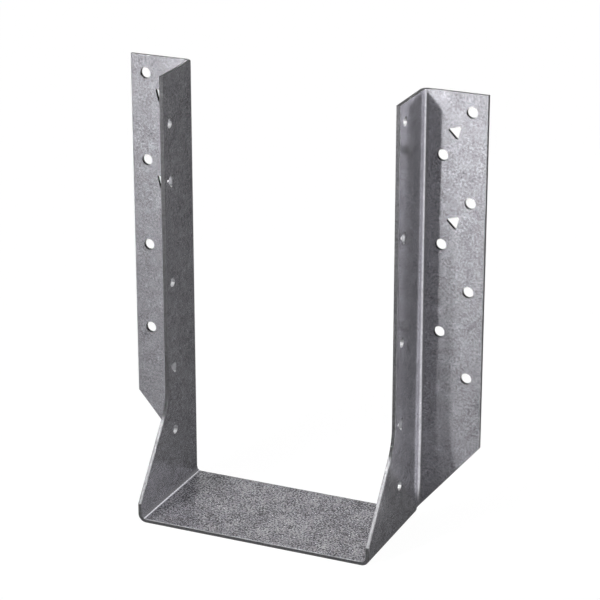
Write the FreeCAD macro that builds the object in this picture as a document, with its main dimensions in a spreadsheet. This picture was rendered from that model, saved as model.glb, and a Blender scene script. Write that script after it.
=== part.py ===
import FreeCAD
import Part
import Sketcher
import math
import os
from types import SimpleNamespace

# Face-mount joist hanger, folded from one blank of galvanised sheet steel.
# A seat carries the end of the joist, a side plate stands on each side of it, and a face flange
# turns outwards from the back edge of each side plate to be nailed to the header beam.
# X runs across the joist, +Y points at the header, +Z up. Lengths in mm, angles in degrees.
# The origin is under the seat, midway across it and midway between header face and toe.

SIZES = {
    # The sheet and its folds.
    "sheet_thickness": 1.9,
    "bend_radius": 2.2,
    "edge_softness": 0.3,
    # The stirrup: clear width for the joist, height over all, and how far it reaches from the header.
    "joist_width": 119.06,
    "hanger_height": 218.9,
    "seat_reach": 65.2,
    "seat_setback": 2.8,
    "side_reach": 33.5,
    # The front edge of a side plate: plumb above, then swept forward to the toe of the seat.
    "toe_height": 9.6,
    "slant_angle": 37.7,
    "knee_radius": 25.4,
    # A face flange, measured from the inner face of its side plate, and its slanted lower end.
    "flange_reach": 33.3,
    "tip_height": 41.1,
    # Nail holes in a face flange: distances from its outer edge and down from its top edge.
    "face_nail_diameter": 5.6,
    "row_pitch": 44.45,
    "outer_column_edge": 7.9,
    "outer_column_drop": 9.1,
    "inner_column_edge": 22.1,
    "triangle_column_edge": 16.0,
    "triangle_column_drop": 19.3,
    "row_clearance": 12.0,
    # A triangular nail hole: centre to rounded corner, the corner's radius, and its turn.
    "triangle_reach": 3.55,
    "triangle_corner": 0.75,
    "triangle_turn": 45.6,
    # Nail holes in the side plates, in one column measured from the front edge. The two plates differ,
    # so that nails driven from both sides miss each other in the joist. A drop is measured down from
    # the top edge and a rise up from the underside.
    "joist_nail_diameter": 4.8,
    "joist_column_edge": 6.8,
    "right_top_nail_drop": 9.2,
    "right_upper_triangle_drop": 65.8,
    "right_middle_nail_rise": 100.5,
    "right_lower_triangle_rise": 58.5,
    "right_low_nail_rise": 26.0,
    "left_top_nail_drop": 24.9,
    "left_upper_triangle_drop": 53.8,
    "left_middle_nail_rise": 113.0,
    "left_lower_triangle_rise": 68.5,
    "left_low_nail_rise": 34.5,
    # How far a cut reaches past the metal that it removes.
    "overcut": 5.0,
}

# How an outline goes on from one of its stops, and which way its arcs turn.
STRAIGHT = None
LEFT_HAND = 1
RIGHT_HAND = -1

# A sketch's numbers for the ends and the centre of an element, and for its own origin.
START = 1
END = 2
CENTRE = 3
ORIGIN = (-1, 1)


class Size:
    """A length or angle: its worth as a number, and the sheet expression that gives it."""

    def __init__(self, worth, text):
        self.worth = worth
        self.text = text

    def __add__(self, other):
        other = as_size(other)
        return Size(self.worth + other.worth, "(%s + %s)" % (self.text, other.text))

    def __sub__(self, other):
        other = as_size(other)
        return Size(self.worth - other.worth, "(%s - %s)" % (self.text, other.text))

    def __mul__(self, other):
        other = as_size(other)
        return Size(self.worth * other.worth, "(%s * %s)" % (self.text, other.text))

    def __truediv__(self, other):
        other = as_size(other)
        return Size(self.worth / other.worth, "(%s / %s)" % (self.text, other.text))

    def __neg__(self):
        return Size(-self.worth, "(0 - %s)" % self.text)


def as_size(number):
    """A plain number such as 0 or 2 as a Size, so that it can stand in a formula."""
    return number if isinstance(number, Size) else Size(number, repr(number))


def sine(angle):
    return Size(math.sin(math.radians(angle.worth)), "sin(%s * 1deg)" % angle.text)


def cosine(angle):
    return Size(math.cos(math.radians(angle.worth)), "cos(%s * 1deg)" % angle.text)


def tangent(angle):
    return Size(math.tan(math.radians(angle.worth)), "tan(%s * 1deg)" % angle.text)


def whole(amount):
    """The whole number below an amount."""
    return Size(math.floor(amount.worth), "floor(%s)" % amount.text)


os.makedirs("parts", exist_ok=True)
doc = FreeCAD.newDocument("joist_hanger")
sheet = doc.addObject("Spreadsheet::Sheet", "Sizes")
for row, (alias, number) in enumerate(SIZES.items(), 1):
    sheet.set("A%d" % row, alias)
    sheet.set("B%d" % row, str(number))
    sheet.setAlias("B%d" % row, alias)
doc.recompute()
body = doc.addObject("PartDesign::Body", "joist_hanger")
body.Label = "joist_hanger"

# Each driving dimension as a Size, such as size.joist_width, and the places that follow from them.
size = SimpleNamespace(**{alias: Size(number, "Sizes." + alias) for alias, number in SIZES.items()})
zero = as_size(0)
side_inner = size.joist_width / 2
side_outer = side_inner + size.sheet_thickness
bend_outer = size.bend_radius + size.sheet_thickness
flange_edge = side_inner + size.flange_reach


def origin_part(role):
    """One of the body's own origin planes or axes, found by its role."""
    return [part for part in body.Origin.OriginFeatures if part.Role == role][0]


def new_sketch(name, plane_role, offset=zero):
    """A sketch on one of the body's origin planes, moved along that plane's normal by offset."""
    sketch = body.newObject("Sketcher::SketchObject", name)
    sketch.AttachmentSupport = [(origin_part(plane_role), "")]
    sketch.MapMode = "FlatFace"
    sketch.setExpression("AttachmentOffset.Base.z", offset.text)
    return sketch


def dimension(sketch, kind, places, amount):
    """A driving constraint of the sketch whose value comes from the sheet."""
    index = sketch.addConstraint(Sketcher.Constraint(kind, *places, amount.worth))
    name = "size_%d" % index
    sketch.renameConstraint(index, name)
    sketch.setExpression("Constraints." + name, amount.text)


def pin_down(sketch, element, vertex, x, y):
    """Holds a vertex at x and y from the sketch's origin. A negative distance is measured back."""
    for kind, distance in (("DistanceX", x), ("DistanceY", y)):
        if distance.worth < 0:
            dimension(sketch, kind, (element, vertex) + ORIGIN, -distance)
        else:
            dimension(sketch, kind, ORIGIN + (element, vertex), distance)


def bend_centre(start, end, radius, hand):
    """Centre of the arc from start to end that turns to the given hand."""
    chord = end - start
    sideways = FreeCAD.Vector(-chord.y, chord.x, 0).normalize()
    height = math.sqrt(max(radius ** 2 - chord.Length ** 2 / 4, 0))
    return start + chord / 2 + sideways * height * hand


def trace(sketch, stops):
    """Closed outline through stops of (x, y, way on): STRAIGHT, or (radius, hand) for an arc."""
    count = len(stops)
    points = [FreeCAD.Vector(x.worth, y.worth, 0) for x, y, way in stops]
    ends = []
    for i, (x, y, way) in enumerate(stops):
        start, end = points[i], points[(i + 1) % count]
        if way is STRAIGHT:
            element = sketch.addGeometry(Part.LineSegment(start, end), False)
            ends.append((element, START, END))
            continue
        radius, hand = way
        centre = bend_centre(start, end, radius.worth, hand)
        first, last = (start, end) if hand == LEFT_HAND else (end, start)
        angles = [math.atan2(point.y - centre.y, point.x - centre.x) for point in (first, last)]
        circle = Part.Circle(centre, FreeCAD.Vector(0, 0, 1), radius.worth)
        element = sketch.addGeometry(Part.ArcOfCircle(circle, *angles), False)
        ends.append((element, START, END) if hand == LEFT_HAND else (element, END, START))
        dimension(sketch, "Radius", (element,), radius)
    for i in range(count):
        element, entry, leave = ends[i]
        following, next_entry, next_leave = ends[(i + 1) % count]
        sketch.addConstraint(Sketcher.Constraint("Coincident", element, leave, following, next_entry))
        pin_down(sketch, element, entry, stops[i][0], stops[i][1])


def round_hole(sketch, x, y, diameter):
    centre = FreeCAD.Vector(x.worth, y.worth, 0)
    circle = Part.Circle(centre, FreeCAD.Vector(0, 0, 1), diameter.worth / 2)
    element = sketch.addGeometry(circle, False)
    dimension(sketch, "Radius", (element,), diameter / 2)
    pin_down(sketch, element, CENTRE, x, y)


def triangular_hole(sketch, x, y):
    """Equal-sided triangle with rounded corners, drawn corner by corner round its centre."""
    third_of_a_turn = 120
    half_a_corner = 60
    corner_centre_reach = size.triangle_reach - size.triangle_corner
    stops = []
    for corner in range(3):
        direction = size.triangle_turn + third_of_a_turn * corner
        corner_x = x + corner_centre_reach * cosine(direction)
        corner_y = y + corner_centre_reach * sine(direction)
        for side in (-half_a_corner, half_a_corner):
            facing = direction + side
            stop_x = corner_x + size.triangle_corner * cosine(facing)
            stop_y = corner_y + size.triangle_corner * sine(facing)
            way = (size.triangle_corner, LEFT_HAND) if side < 0 else STRAIGHT
            stops.append((stop_x, stop_y, way))
    trace(sketch, stops)


def bind(feature, **amounts):
    for property_name, amount in amounts.items():
        feature.setExpression(property_name, amount.text)


def pad(name, sketch, length):
    feature = body.newObject("PartDesign::Pad", name)
    feature.Profile = sketch
    bind(feature, Length=length)
    doc.recompute()


def pocket(name, sketch, backwards, depth=None):
    """Cuts through everything on one side of the sketch, or to the depth, and checks that it cut."""
    before = body.Shape.Volume
    feature = body.newObject("PartDesign::Pocket", name)
    feature.Profile = sketch
    feature.Reversed = backwards
    if depth is None:
        feature.Type = "ThroughAll"
    else:
        bind(feature, Length=depth)
    doc.recompute()
    if not body.Shape.Volume < before:
        raise RuntimeError(name + " removes nothing")
    return feature


def row_downwards(name, feature, count):
    """Repeats a hole down the flange at the pitch of the rows."""
    pattern = body.newObject("PartDesign::LinearPattern", name)
    pattern.Originals = [feature]
    pattern.Direction = (origin_part("Z_Axis"), [""])
    pattern.Reversed = True
    pattern.Mode = "Spacing"
    bind(pattern, Offset=size.row_pitch, Occurrences=count)
    body.Tip = pattern
    doc.recompute()


def joist_holes(name, nail_rises, triangle_rises, backwards):
    """Round and triangular nail holes through one side plate, in a column near its front edge."""
    column = new_sketch(name + "_column", "YZ_Plane")
    column_y = size.joist_column_edge - size.side_reach
    for rise in nail_rises:
        round_hole(column, column_y, rise, size.joist_nail_diameter)
    for rise in triangle_rises:
        triangular_hole(column, column_y, rise)
    pocket(name, column, backwards)


# Half of the stirrup, seen from the front: half the seat, the fold and the right side plate.
stirrup_section = new_sketch("stirrup_section", "XZ_Plane", size.seat_setback)
trace(stirrup_section, [
    (zero, zero, STRAIGHT),
    (side_outer - bend_outer, zero, (bend_outer, LEFT_HAND)),
    (side_outer, bend_outer, STRAIGHT),
    (side_outer, size.hanger_height, STRAIGHT),
    (side_inner, size.hanger_height, STRAIGHT),
    (side_inner, bend_outer, (size.bend_radius, RIGHT_HAND)),
    (side_outer - bend_outer, size.sheet_thickness, STRAIGHT),
    (zero, size.sheet_thickness, STRAIGHT),
])
pad("stirrup", stirrup_section, size.seat_reach - size.seat_setback)

# The side plate in side view: its front edge falls plumb, sweeps round the knee and slants down
# to the toe. Behind, the plate stops where the fold into the flange begins.
knee_rise = size.toe_height + (size.seat_reach - size.side_reach) / tangent(size.slant_angle)
knee_run = size.knee_radius * tangent(size.slant_angle / 2)
front_cut = new_sketch("front_cut", "YZ_Plane")
trace(front_cut, [
    (-size.side_reach, size.hanger_height + size.overcut, STRAIGHT),
    (-(size.seat_reach + size.overcut), size.hanger_height + size.overcut, STRAIGHT),
    (-(size.seat_reach + size.overcut), size.toe_height, STRAIGHT),
    (-size.seat_reach, size.toe_height, STRAIGHT),
    (
        -(size.side_reach + knee_run * sine(size.slant_angle)),
        knee_rise - knee_run * cosine(size.slant_angle),
        (size.knee_radius, LEFT_HAND),
    ),
    (-size.side_reach, knee_rise + knee_run, STRAIGHT),
])
pocket("front_edge", front_cut, backwards=True)

back_cut = new_sketch("back_cut", "YZ_Plane")
trace(back_cut, [
    (-bend_outer, bend_outer, STRAIGHT),
    (zero, bend_outer, STRAIGHT),
    (zero, size.hanger_height + size.overcut, STRAIGHT),
    (-bend_outer, size.hanger_height + size.overcut, STRAIGHT),
])
pocket("room_for_flange_fold", back_cut, backwards=True)

# The right face flange, seen from above: the fold out of the side plate, then the flat.
flange_section = new_sketch("flange_section", "XY_Plane", bend_outer)
trace(flange_section, [
    (side_outer, -bend_outer, (size.bend_radius, RIGHT_HAND)),
    (side_inner + bend_outer, -size.sheet_thickness, STRAIGHT),
    (flange_edge, -size.sheet_thickness, STRAIGHT),
    (flange_edge, zero, STRAIGHT),
    (side_inner + bend_outer, zero, (bend_outer, LEFT_HAND)),
    (side_inner, -bend_outer, STRAIGHT),
])
pad("flange", flange_section, size.hanger_height - bend_outer)

# The flange's lower end slants down to the corner where its fold meets the fold of the seat.
tip_cut = new_sketch("tip_cut", "XZ_Plane")
trace(tip_cut, [
    (side_outer, bend_outer, STRAIGHT),
    (flange_edge + size.overcut, bend_outer, STRAIGHT),
    (flange_edge + size.overcut, size.tip_height, STRAIGHT),
    (flange_edge, size.tip_height, STRAIGHT),
])
folded_blank = pocket("flange_tip", tip_cut, backwards=True, depth=bend_outer)

# The long edges of the sheet are eased where the shears left them. Its corners keep their points,
# and so do the edges that run into the corner where the two folds meet behind the seat.
rim = []
for number, edge in enumerate(body.Shape.Edges, 1):
    middle = edge.valueAt((edge.FirstParameter + edge.LastParameter) / 2)
    sides = body.Shape.ancestorsOfType(edge, Part.Face)
    normals = [side.normalAt(*side.Surface.parameter(middle)) for side in sides]
    is_sharp = normals[0].getAngle(normals[-1]) > math.radians(30)
    is_cut_in_half = middle.x < size.edge_softness.worth
    crosses_sheet = abs(edge.Length - size.sheet_thickness.worth) < size.edge_softness.worth / 2
    ends = [vertex.Point for vertex in edge.Vertexes]
    meets_folds = any(end.y > -bend_outer.worth and end.z < 2 * bend_outer.worth for end in ends)
    if is_sharp and not (is_cut_in_half or crosses_sheet or meets_folds):
        rim.append("Edge%d" % number)
eased = body.newObject("PartDesign::Fillet", "eased_rim")
eased.Base = (folded_blank, rim)
bind(eased, Radius=size.edge_softness)
doc.recompute()

# Two columns of nail holes in the flange, the inner nails level with the gaps between the outer
# ones, and a column of triangular holes between them that stops one row earlier.
top = size.hanger_height
outer_nail_z = top - size.outer_column_drop
outer_rows = whole((outer_nail_z - size.tip_height - size.row_clearance) / size.row_pitch) + 1

outer_nail = new_sketch("outer_nail", "XZ_Plane")
round_hole(outer_nail, flange_edge - size.outer_column_edge, outer_nail_z, size.face_nail_diameter)
row_downwards("outer_column", pocket("outer_nail_hole", outer_nail, backwards=True), outer_rows)

inner_nail = new_sketch("inner_nail", "XZ_Plane")
inner_nail_z = outer_nail_z - size.row_pitch / 2
round_hole(inner_nail, flange_edge - size.inner_column_edge, inner_nail_z, size.face_nail_diameter)
row_downwards("inner_column", pocket("inner_nail_hole", inner_nail, backwards=True), outer_rows - 1)

triangle = new_sketch("triangle", "XZ_Plane")
triangular_hole(triangle, flange_edge - size.triangle_column_edge, top - size.triangle_column_drop)
row_downwards("triangle_column", pocket("triangle_hole", triangle, backwards=True), outer_rows - 2)

# The left half is the right half mirrored.
mirrored = body.newObject("PartDesign::Mirrored", "left_half")
mirrored.TransformMode = "Whole shape"
mirrored.MirrorPlane = (origin_part("YZ_Plane"), [""])
body.Tip = mirrored
doc.recompute()

# The side plates' own nail holes.
joist_holes(
    "right_joist_holes",
    [top - size.right_top_nail_drop, size.right_middle_nail_rise, size.right_low_nail_rise],
    [top - size.right_upper_triangle_drop, size.right_lower_triangle_rise],
    backwards=True,
)
joist_holes(
    "left_joist_holes",
    [top - size.left_top_nail_drop, size.left_middle_nail_rise, size.left_low_nail_rise],
    [top - size.left_upper_triangle_drop, size.left_lower_triangle_rise],
    backwards=False,
)

# The hanger moves so that the origin lies midway between the header face and the toe.
body.setExpression("Placement.Base.y", (size.seat_reach / 2).text)
doc.recompute()

for item in doc.Objects:
    if "Invalid" in item.State or "Error" in item.State:
        raise RuntimeError(item.Name + " did not build")
if body.Shape.isNull() or not body.Shape.isValid() or len(body.Shape.Solids) != 1:
    raise RuntimeError("the hanger is not one sound solid")
body.Shape.exportStep("parts/joist_hanger.step")
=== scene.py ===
# %% [markdown]
# # A joist hanger in galvanised sheet
#
# A joist hanger is one blank of zinc-coated sheet steel, punched and folded into a stirrup. The end
# of a floor joist stands on its seat, and two flanges are nailed to the beam behind. The folded
# shape comes ready from the CAD frame. This lesson gives it the look of a hanger on a white table:
# the camera, a plain studio, the cut and bent edges of sheet metal, and the skin of zinc.

import math

import bmesh
import bpy
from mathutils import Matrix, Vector
from mathutils.bvhtree import BVHTree


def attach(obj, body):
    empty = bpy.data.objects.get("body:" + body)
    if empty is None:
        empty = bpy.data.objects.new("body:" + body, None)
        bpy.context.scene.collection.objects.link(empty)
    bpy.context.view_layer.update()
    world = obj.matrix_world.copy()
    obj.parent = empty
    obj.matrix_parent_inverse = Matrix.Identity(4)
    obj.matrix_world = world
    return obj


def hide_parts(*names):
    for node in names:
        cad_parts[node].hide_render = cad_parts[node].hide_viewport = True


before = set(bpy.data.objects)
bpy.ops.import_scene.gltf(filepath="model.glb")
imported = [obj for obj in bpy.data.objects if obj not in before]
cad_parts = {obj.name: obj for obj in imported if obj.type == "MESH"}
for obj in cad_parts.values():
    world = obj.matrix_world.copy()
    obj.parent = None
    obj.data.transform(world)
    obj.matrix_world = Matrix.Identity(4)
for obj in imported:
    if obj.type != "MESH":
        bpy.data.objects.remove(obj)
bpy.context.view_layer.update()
MM = 0.001
folded_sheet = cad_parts["joist_hanger"]

# %% [markdown]
# ## The camera
#
# A long lens from well back keeps the plumb edges of the hanger nearly parallel. The camera stands
# to the right of the hanger and looks down on it, so that the inside of the left plate, the outside
# of the right plate, the seat and both flanges all show. It could be turned by hand until it looks
# right, but an aim point, two angles and a distance are easier to check and to change.

# %% Place the camera
AIM = Vector((10.12, 2.6, 115.44)) * MM
TURN_TO_THE_RIGHT = math.radians(23.87)
LOOK_DOWN = math.radians(20.78)
STAND_OFF = 1194.9 * MM
LENS_MM = 150.0
SENSOR_MM = 36.0
SEEN_FROM = 0.05
SEEN_TO = 50.0

away = Vector((
    math.sin(TURN_TO_THE_RIGHT) * math.cos(LOOK_DOWN),
    -math.cos(TURN_TO_THE_RIGHT) * math.cos(LOOK_DOWN),
    math.sin(LOOK_DOWN),
))
camera_data = bpy.data.cameras.new("camera")
camera_data.lens = LENS_MM
camera_data.sensor_width = SENSOR_MM
camera_data.clip_start = SEEN_FROM
camera_data.clip_end = SEEN_TO
camera = bpy.data.objects.new("camera", camera_data)
camera.location = AIM + away * STAND_OFF
camera.rotation_euler = (-away).to_track_quat("-Z", "Y").to_euler()
bpy.context.scene.collection.objects.link(camera)
bpy.context.scene.camera = camera
print("camera at", [round(v, 3) for v in camera.location])

# %% [markdown]
# ## Sums on shader nodes
#
# A material is a graph of nodes, and a graph with many Math nodes is hard to read as code. A small
# class wraps an output socket and lets Python's own signs build the Math nodes, so that a mask can
# be written as `1 - spots * 0.4`. A second class holds the node tree and makes every other node by
# one method.

# %% A recipe of nodes, and sums on its sockets


class Wire:
    """One output socket of a node, which can stand in a sum."""

    def __init__(self, recipe, socket):
        self.recipe = recipe
        self.socket = socket

    def sum(self, operation, first, second):
        settings = {"operation": operation}
        return self.recipe.add("ShaderNodeMath", settings, {0: first, 1: second})["Value"]

    def __add__(self, other):
        return self.sum("ADD", self, other)

    def __radd__(self, other):
        return self.sum("ADD", other, self)

    def __sub__(self, other):
        return self.sum("SUBTRACT", self, other)

    def __rsub__(self, other):
        return self.sum("SUBTRACT", other, self)

    def __mul__(self, other):
        return self.sum("MULTIPLY", self, other)

    def __rmul__(self, other):
        return self.sum("MULTIPLY", other, self)


class Recipe:
    """The node tree of a material or of the world, emptied and built afresh."""

    def __init__(self, owner):
        owner.use_nodes = True
        self.tree = owner.node_tree
        self.tree.nodes.clear()

    def add(self, kind, settings=None, inputs=None):
        """A node of a kind, with its settings made first, then its sockets. Gives its outputs."""
        node = self.tree.nodes.new(kind)
        for name, setting in (settings or {}).items():
            setattr(node, name, setting)
        for name, value in (inputs or {}).items():
            if isinstance(value, Wire):
                self.tree.links.new(value.socket, node.inputs[name])
            else:
                node.inputs[name].default_value = value
        return {output.name: Wire(self, output) for output in node.outputs if output.enabled}

    def fade(self, value, start, end):
        """A mask that goes smoothly from 0 where a value is at start to 1 where it is at end."""
        settings = {"interpolation_type": "SMOOTHSTEP"}
        inputs = {"Value": value, "From Min": start, "From Max": end}
        return self.add("ShaderNodeMapRange", settings, inputs)["Result"]


print("sums ready")

# %% [markdown]
# ## The studio
#
# A hanger photographed for a catalogue hangs in plain white light with nothing around it. The world
# can do three jobs at once here, told apart by the kind of ray that asks. A camera ray, or one that
# passes through a hole, sees pure white. A diffuse ray gets a moderate white light, which fills the
# shadows. A glossy ray sees a dim room: bare zinc is a dull mirror, and in a room that is white all
# round it would lose its folds. Brighter lamps could whiten the background too, but they would
# bleach the metal first.

# %% Light the room evenly
WHITE = (1.0, 1.0, 1.0, 1.0)
FILL_LIGHT = 0.60
ROOM_IN_THE_METAL = 0.16

world = bpy.data.worlds.new("studio")
bpy.context.scene.world = world
studio = Recipe(world)
ray = studio.add("ShaderNodeLightPath")
seen = ray["Is Camera Ray"] + ray["Is Transmission Ray"]
mirrored = ray["Is Glossy Ray"]
strength = (FILL_LIGHT + seen * (1.0 - FILL_LIGHT)
            + mirrored * (ROOM_IN_THE_METAL - FILL_LIGHT))
backdrop = studio.add("ShaderNodeBackground", None, {
    "Color": WHITE,
    "Strength": strength,
})
studio.add("ShaderNodeOutputWorld", None, {"Surface": backdrop["Background"]})
bpy.context.scene.view_settings.view_transform = "Standard"
print("world gives", FILL_LIGHT, "to the sheet and", ROOM_IN_THE_METAL, "to its mirror")

# %% [markdown]
# ## The table
#
# The hanger stands on a white table that runs out of the picture on every side. A plain square is
# enough. Its material is a trace of white paper, which keeps the shadow, under a white glow for the
# camera, which keeps the table as white as the wall.
#
# The table is also what the folds mirror. The rounded fold of the right flange looks down to the
# right, and there it shows the white table as one clean line of light with a softer band beside it.
# Everything else in the metal looks towards the dim part of the room. So the table's glow in a
# glossy ray is full only to the right of the hanger, and weak elsewhere. The lower end of the fold
# looks at the table closer by, so a short strip of white reaches in beside it, just far enough that
# the plate next to it doesn't mirror it too. A card stood beside the hanger would do the same, and
# would also be seen in the background.

# %% Lay the table
TABLE_HALF = 4.0
WEAK_GLOW = 0.05
WHITE_GLOW = 1.10
CAMERA_WHITE = 1.03
GLOW_OVER_PAPER = 0.94

bm = bmesh.new()
bmesh.ops.create_grid(bm, x_segments=1, y_segments=1, size=TABLE_HALF)
table_mesh = bpy.data.meshes.new("table")
bm.to_mesh(table_mesh)
bm.free()
table = bpy.data.objects.new("table", table_mesh)
bpy.context.scene.collection.objects.link(table)
print("table", TABLE_HALF * 2, "m square")

# %% Make the table white
PAPER = (0.8, 0.8, 0.8, 1.0)
FAR_RIGHT = (90 * MM, 130 * MM)
STRIP_LEFT_SIDE = (80 * MM, 92 * MM)
STRIP_FRONT = (-15 * MM, 0 * MM)
STRIP_BACK = (40 * MM, 30 * MM)
FRONT_SLANT = 0.7
FRONT_LINE = (-5 * MM, 45 * MM)
BACK_LINE = (160 * MM, 80 * MM)

pale = bpy.data.materials.new("pale_table")
recipe = Recipe(pale)
ray = recipe.add("ShaderNodeLightPath")
seen = ray["Is Camera Ray"] + ray["Is Transmission Ray"]
mirrored = ray["Is Glossy Ray"]
place = recipe.add("ShaderNodeTexCoord")["Object"]
spot = recipe.add("ShaderNodeSeparateXYZ", None, {"Vector": place})
far_right = recipe.fade(spot["X"], *FAR_RIGHT)
beside_the_fold = (recipe.fade(spot["X"], *STRIP_LEFT_SIDE)
                   * recipe.fade(spot["Y"], *STRIP_FRONT)
                   * recipe.fade(spot["Y"], *STRIP_BACK))
to_the_right = 1.0 - (1.0 - far_right) * (1.0 - beside_the_fold)
past_the_front = recipe.fade(spot["Y"] + spot["X"] * FRONT_SLANT, *FRONT_LINE)
before_the_back = recipe.fade(spot["Y"], *BACK_LINE)
white_patch = to_the_right * past_the_front * before_the_back
paper = recipe.add("ShaderNodeBsdfDiffuse", None, {"Color": PAPER})
glow = recipe.add("ShaderNodeEmission", None, {
    "Color": WHITE,
    "Strength": seen * CAMERA_WHITE + mirrored * (WEAK_GLOW + white_patch * WHITE_GLOW),
})
lit = recipe.add("ShaderNodeMixShader", None, {
    0: GLOW_OVER_PAPER, 1: paper["BSDF"], 2: glow["Emission"],
})
recipe.add("ShaderNodeOutputMaterial", None, {"Surface": lit["Shader"]})
table_mesh.materials.append(pale)
print("table material", pale.name)

# %% [markdown]
# ## The lamps
#
# Flat zinc shows light in two ways. The dull share of its coat takes the light of the lamps, and
# the bright share mirrors what stands opposite. The main lamp stands well left of the camera and
# nearly as high, and its narrow beam is aimed above the hanger, so that the flanges are bright at
# the top and fade downwards. The side plate keeps that beam off the strip beside the fold, which
# is the dark stripe with a clear edge. A second lamp further left is aimed low, carries on below
# and makes the stripe wider there. The higher it stands, the less the wide foot of the plate bends
# the stripe. Both are hidden from glossy rays, or the rounded corners would flare.
#
# Both lamps are strong, because only about a quarter of the zinc scatters their light. A matt
# piece in their beams would render too bright.
#
# A beam can be narrowed with a spot lamp, but an area lamp with a small spread keeps a soft edge on
# its shadow. A smaller spread makes Blender's area lamp brighter on its axis, and the helper takes
# that out again, so that the given light stays the light on the hanger.

# %% A lamp with a soft beam
MIDDLE_MM = (0.0, 0.0, 110.0)
HANGER_MIDDLE = Vector(MIDDLE_MM) * MM
WIDE_OPEN = 180.0


def soft_lamp(name, towards, distance, width, light, spread=WIDE_OPEN, aim=MIDDLE_MM):
    """A square lamp in a direction from the hanger, aimed at a point in mm, of a given light."""
    data = bpy.data.lights.new(name, "AREA")
    data.shape = "SQUARE"
    data.size = width
    data.energy = light * math.pi * distance ** 2
    if spread < WIDE_OPEN:
        half = math.radians(spread) / 2
        data.spread = half * 2
        data.energy *= (math.tan(half) - half) / math.tan(half)
    lamp = bpy.data.objects.new(name, data)
    lamp.location = HANGER_MIDDLE + Vector(towards).normalized() * distance
    beam = Vector(aim) * MM - lamp.location
    lamp.rotation_euler = beam.to_track_quat("-Z", "Y").to_euler()
    bpy.context.scene.collection.objects.link(lamp)
    print(name, "lamp", round(data.energy, 3), "W")
    return lamp


# %% Light the flanges
high_left = soft_lamp("high_left", (-0.24, -0.92, 0.32), distance=2.8, width=0.16, light=19.2,
                      spread=8.0, aim=(10.0, 0.0, 271.0))
low_left = soft_lamp("low_left", (-0.43, -0.87, 0.25), distance=2.4, width=0.22, light=5.4,
                     spread=13.0, aim=(12.0, 0.0, 22.0))
for lamp in (high_left, low_left):
    lamp.visible_glossy = False

# %% [markdown]
# ## Lights for the other faces
#
# The faces that look up and back need lights of their own. A soft lamp above the front lights the
# seat and the slanted front edges of the plates. A weak one at the right shows the outside of the
# right plate, and a very weak one over the back draws the line of light in the fold between plate
# and seat. What is left are two cards, which is what a photographer calls a sheet of white board
# that only mirrors: they are hidden from diffuse rays and light nothing, and appear only as sheen.
# One stands over the front, and one behind for the seat to mirror.

# %% Light the seat, the edges and the folds
LAMP_DISTANCE = 2.0

soft_lamp("over_the_front", (-0.378, -0.50, 0.78), LAMP_DISTANCE, width=0.50, light=0.55)
soft_lamp("from_the_right", (0.96, -0.20, 0.05), LAMP_DISTANCE, width=0.60, light=0.55)
soft_lamp("fold_line", (0.05, 0.80, 0.60), LAMP_DISTANCE, width=0.50, light=0.09)
front_card = soft_lamp("front_card", (-0.378, -0.33, 0.87), LAMP_DISTANCE, width=1.20, light=2.2)
seat_card = soft_lamp("seat_card", (-0.378, 0.855, 0.355), LAMP_DISTANCE, width=0.90, light=0.018)
for card in (front_card, seat_card):
    card.visible_diffuse = False

# %% [markdown]
# ## Sorting the faces of the sheet
#
# Zinc-coated sheet is coated first and punched afterwards. So the faces of the sheet carry zinc,
# and every cut through it shows bare, darker steel. The faces could be picked by hand, but there
# are thousands, and a rule finds them all: behind a face of the sheet, the other side lies just one
# sheet thickness away, and behind a cut face the metal goes on for much longer. A ray sent inwards
# measures that. A second ray sent outwards tells a wall of a hole, which has another wall opposite,
# from an outer edge, which has nothing.
#
# The walls of the holes in the flanges lie deep in shadow, and that shade is painted into their
# colour as near black. In the side plates a wall that looks up gets a painted highlight, a pale
# colour, while an upright one gets a painted shade, a greyer one. The folds are sorted out too:
# the press stretches the zinc smooth there, and its grain is finer than on the flats.

# %% Rules for the faces
SHEET = 1.9 * MM
THROUGH_THE_SHEET = 1.02 * SHEET
A_HAIR = 0.001 * MM
WIDEST_HOLE = 7 * MM
INSIDE_THE_FLANGES = 61.5 * MM
ALONG_AN_AXIS = 0.999
LOOKS_UP = 0.3
# The last three finishes are hole walls with painted shade or a painted highlight in their colour.
COATS = ["zinc_flat", "zinc_fold", "sheared_edge", "flange_wall_painted_shade", "plate_wall_painted_light", "plate_wall_painted_shade"]


def coat_of(face, sheet_tree):
    """The finish of a face, from what lies behind it and in front of it."""
    middle, normal = face.calc_center_median(), face.normal
    behind = sheet_tree.ray_cast(middle - normal * A_HAIR, -normal)[3]
    opposite = sheet_tree.ray_cast(middle + normal * A_HAIR, normal)[3]
    if behind is not None and behind < THROUGH_THE_SHEET:
        return "zinc_flat" if max(abs(n) for n in normal) > ALONG_AN_AXIS else "zinc_fold"
    if opposite is None or opposite > WIDEST_HOLE:
        return "sheared_edge"
    # Flange hole walls get painted shade; plate hole walls painted light if they look up, else
    # shade.
    if abs(middle.x) > INSIDE_THE_FLANGES:
        return "flange_wall_painted_shade"
    return "plate_wall_painted_light" if normal.z > LOOKS_UP else "plate_wall_painted_shade"


# %% Sort them
bm = bmesh.new()
bm.from_mesh(folded_sheet.data)
bmesh.ops.remove_doubles(bm, verts=bm.verts, dist=A_HAIR)
sheet_tree = BVHTree.FromBMesh(bm)
for face in bm.faces:
    face.material_index = COATS.index(coat_of(face, sheet_tree))
for number, coat in enumerate(COATS):
    print(coat, sum(face.material_index == number for face in bm.faces), "triangles")

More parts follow.
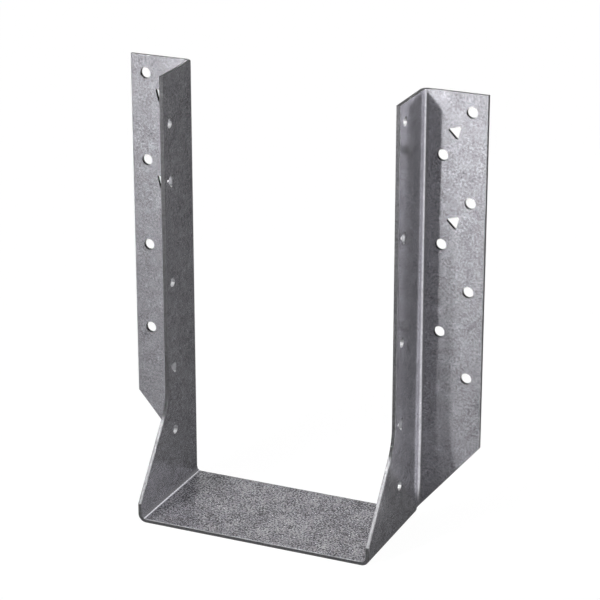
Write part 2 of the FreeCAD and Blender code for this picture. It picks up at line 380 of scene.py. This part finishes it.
# %% [markdown]
# ## Easing the punched edges
#
# A punch leaves no razor edge: on one side of the sheet the metal rolls over, and on the other the
# zinc is drawn a little way round the corner. That small round is what glints along every edge and
# around every hole. The long edges come rounded from the CAD, and the corners at the holes and
# across the sheet are still sharp. First the thousands of triangles are joined back into flat
# faces, because a bevel needs clean edges. Then a bevel rounds each sharp corner, both sides of a
# hole alike. A Bevel modifier could do it, but the operator can be given exactly those edges.
#
# Flat faces should also shade as flat. A weighted normal lets the largest faces at a corner decide
# how it shades, so that only the small rounds and the folds look curved.

# %% Round the sharp corners
PUNCH_EASE = 0.22 * MM
FLAT_WITHIN = math.radians(0.2)
SHARP_FROM = math.radians(35)

bmesh.ops.dissolve_limit(bm, angle_limit=FLAT_WITHIN, verts=bm.verts, edges=bm.edges,
                         delimit={"MATERIAL"})
corners = [edge for edge in bm.edges
           if len(edge.link_faces) == 2 and edge.calc_face_angle(0.0) > SHARP_FROM]
print(len(bm.faces), "faces,", len(corners), "sharp edges")
bmesh.ops.bevel(bm, geom=corners, offset=PUNCH_EASE, affect="EDGES", segments=2, profile=0.5,
                material=-1, clamp_overlap=True)
print(len(bm.faces), "faces after the bevel,",
      sum(len(edge.link_faces) != 2 for edge in bm.edges), "open edges")

# %% Make the eased sheet an object
SHADED_SHARP_FROM = math.radians(50)
LARGEST_FACE_DECIDES = 100

hanger_mesh = bpy.data.meshes.new("hanger")
bm.to_mesh(hanger_mesh)
bm.free()
hanger_mesh.shade_smooth()
hanger_mesh.set_sharp_from_angle(angle=SHADED_SHARP_FROM)
hanger = bpy.data.objects.new("hanger_skin", hanger_mesh)
bpy.context.scene.collection.objects.link(hanger)
flat_first = hanger.modifiers.new("flat_first", "WEIGHTED_NORMAL")
flat_first.keep_sharp = True
flat_first.weight = LARGEST_FACE_DECIDES
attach(hanger, "root")
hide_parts("joist_hanger")
print("hanger", [round(size / MM, 1) for size in hanger.dimensions], "mm")

# %% [markdown]
# ## The skin of zinc
#
# Hot-dip zinc on thin sheet freezes in tiny crystals. From arm's length it is a dull grey metal
# with a fine mottle: a grain of about a millimetre, some larger blotches, and patches where the
# grain stands out more than elsewhere. It is strongest on the seat, which lies flat and catches the
# light at a low angle.
#
# Noise at a few scales makes the mottle. It darkens and lightens the zinc, roughens its gloss a
# little and gives it a slight relief. The noise reads Object coordinates, so it runs through the
# sheet like wood grain through a board and needs no unwrapping. A picture of zinc would need that,
# and would repeat. The metal is not quite a full mirror: about a quarter of its light is scattered
# by the oxide, and that share is what the lamps light.

# %% The scales of the mottle
GRAIN_PER_M = 880.0
FINER_ON_SEAT = 220.0
BLOTCHES_PER_M = 160.0
PATCHES_PER_M = 60.0
CLOUDS_PER_M = 40.0
SWIRL_OF_PATCHES = 1.5
SEAT_FROM = 4 * MM
SEAT_BELOW = 3 * MM
for kind, per_m in (("grain", GRAIN_PER_M), ("blotches", BLOTCHES_PER_M),
                    ("patches", PATCHES_PER_M), ("clouds", CLOUDS_PER_M)):
    print(kind, "of about", round(1.0 / (per_m * MM), 1), "mm")

# %% The share of each scale
BLOTCH_SHARE = 0.45
BLOTCH_SHARE_LOST_ON_SEAT = 0.20
CLOUD_SHARE = 0.05
PATCH_SHARE = 0.10
PATCH_CONTRAST = 1.8
ROUGHENING = 0.04
DARKEST = 0.25
LIGHTEST = 1.75
print("the zinc goes from", DARKEST, "to", LIGHTEST, "of its colour")

# %% A finish of metal with a mottle


def mottled_metal(name, colour, rough, metal, mottle, seat_mottle=0.0, relief=0.0):
    """A metal of a colour, with a mottle that may be stronger on the seat, and a relief in m."""
    coat = bpy.data.materials.new(name)
    recipe = Recipe(coat)
    place = recipe.add("ShaderNodeTexCoord")["Object"]

    def noise(scale, detail, roughness, swirl=0.0):
        inputs = {"Vector": place, "Scale": scale, "Detail": detail, "Roughness": roughness,
                  "Distortion": swirl}
        return recipe.add("ShaderNodeTexNoise", None, inputs)["Fac"] - 0.5

    height = recipe.add("ShaderNodeSeparateXYZ", None, {"Vector": place})["Z"]
    on_seat = recipe.fade(height, SEAT_FROM, SEAT_BELOW)
    grain = noise(GRAIN_PER_M + on_seat * FINER_ON_SEAT, detail=2.0, roughness=0.6)
    blotches = noise(BLOTCHES_PER_M, detail=3.0, roughness=0.6)
    clouds = noise(CLOUDS_PER_M, detail=2.0, roughness=0.5)
    patches = noise(PATCHES_PER_M, detail=2.0, roughness=0.6, swirl=SWIRL_OF_PATCHES)
    depth = (mottle + on_seat * seat_mottle) * (1.0 + patches * PATCH_CONTRAST)
    blotch_share = BLOTCH_SHARE - on_seat * BLOTCH_SHARE_LOST_ON_SEAT
    tone = 0.5 + depth * (grain + blotches * blotch_share + clouds * CLOUD_SHARE
                          - patches * PATCH_SHARE)
    dark = tuple(part * DARKEST for part in colour) + (1.0,)
    light = tuple(part * LIGHTEST for part in colour) + (1.0,)
    skin = recipe.add("ShaderNodeMix", {"data_type": "RGBA"}, {"Factor": tone, 6: dark, 7: light})
    bump = recipe.add("ShaderNodeBump", None, {
        "Strength": 1.0, "Distance": relief, "Height": grain,
    })
    surface = recipe.add("ShaderNodeBsdfPrincipled", None, {
        "Base Color": skin["Result"],
        "Metallic": metal,
        "Roughness": rough + grain * mottle * ROUGHENING,
        "Normal": bump["Normal"],
    })
    recipe.add("ShaderNodeOutputMaterial", None, {"Surface": surface["BSDF"]})
    print(name, "made")
    return coat


# %% [markdown]
# ## The six finishes
#
# All the finishes come from the same helper, in the order in which the faces were sorted. The zinc
# has a slight blue cast. The sheared edge is steel that has darkened, with a coarser gloss. The
# walls of the flange holes are painted nearly black, a painted shade, because almost nothing that
# they mirror is lit. Those of the plate holes are freshly torn steel, which scatters light instead
# of mirroring it, and they carry painted light: a painted highlight, pale, where they look up, and
# a painted shade, grey, elsewhere.

# %% Coat the faces
ZINC = (0.590, 0.583, 0.625)
RELIEF = 0.011 * MM
DARKENED_STEEL = (0.210, 0.210, 0.219)
# Painted shade for the walls of the flange holes: a near-black colour.
STEEL_IN_PAINTED_SHADE = (0.05, 0.05, 0.053)
# Torn steel twice: with painted light for walls that look up, with painted shade for upright ones.
TORN_STEEL_PAINTED_LIT = (0.46, 0.46, 0.47)
TORN_STEEL_PAINTED_SHADE = (0.17, 0.17, 0.18)

finishes = {
    "zinc_flat": mottled_metal("zinc_flat", ZINC, rough=0.19, metal=0.75, mottle=1.15,
                               seat_mottle=4.4, relief=RELIEF),
    "zinc_fold": mottled_metal("zinc_fold", ZINC, rough=0.19, metal=0.75, mottle=0.4),
    "sheared_edge": mottled_metal("sheared_edge", DARKENED_STEEL, rough=0.30, metal=0.78,
                                  mottle=0.8),
    # Hole walls: painted shade in the flanges, painted highlight and painted shade in the plates.
    "flange_wall_painted_shade": mottled_metal("flange_wall_painted_shade", STEEL_IN_PAINTED_SHADE, rough=0.25, metal=0.90, mottle=0.8),
    "plate_wall_painted_light": mottled_metal("plate_wall_painted_light", TORN_STEEL_PAINTED_LIT, rough=0.35, metal=0.10, mottle=0.3),
    "plate_wall_painted_shade": mottled_metal("plate_wall_painted_shade", TORN_STEEL_PAINTED_SHADE, rough=0.35, metal=0.10, mottle=0.3),
}
for coat in COATS:
    hanger_mesh.materials.append(finishes[coat])
print(len(hanger_mesh.materials), "finishes on the hanger")
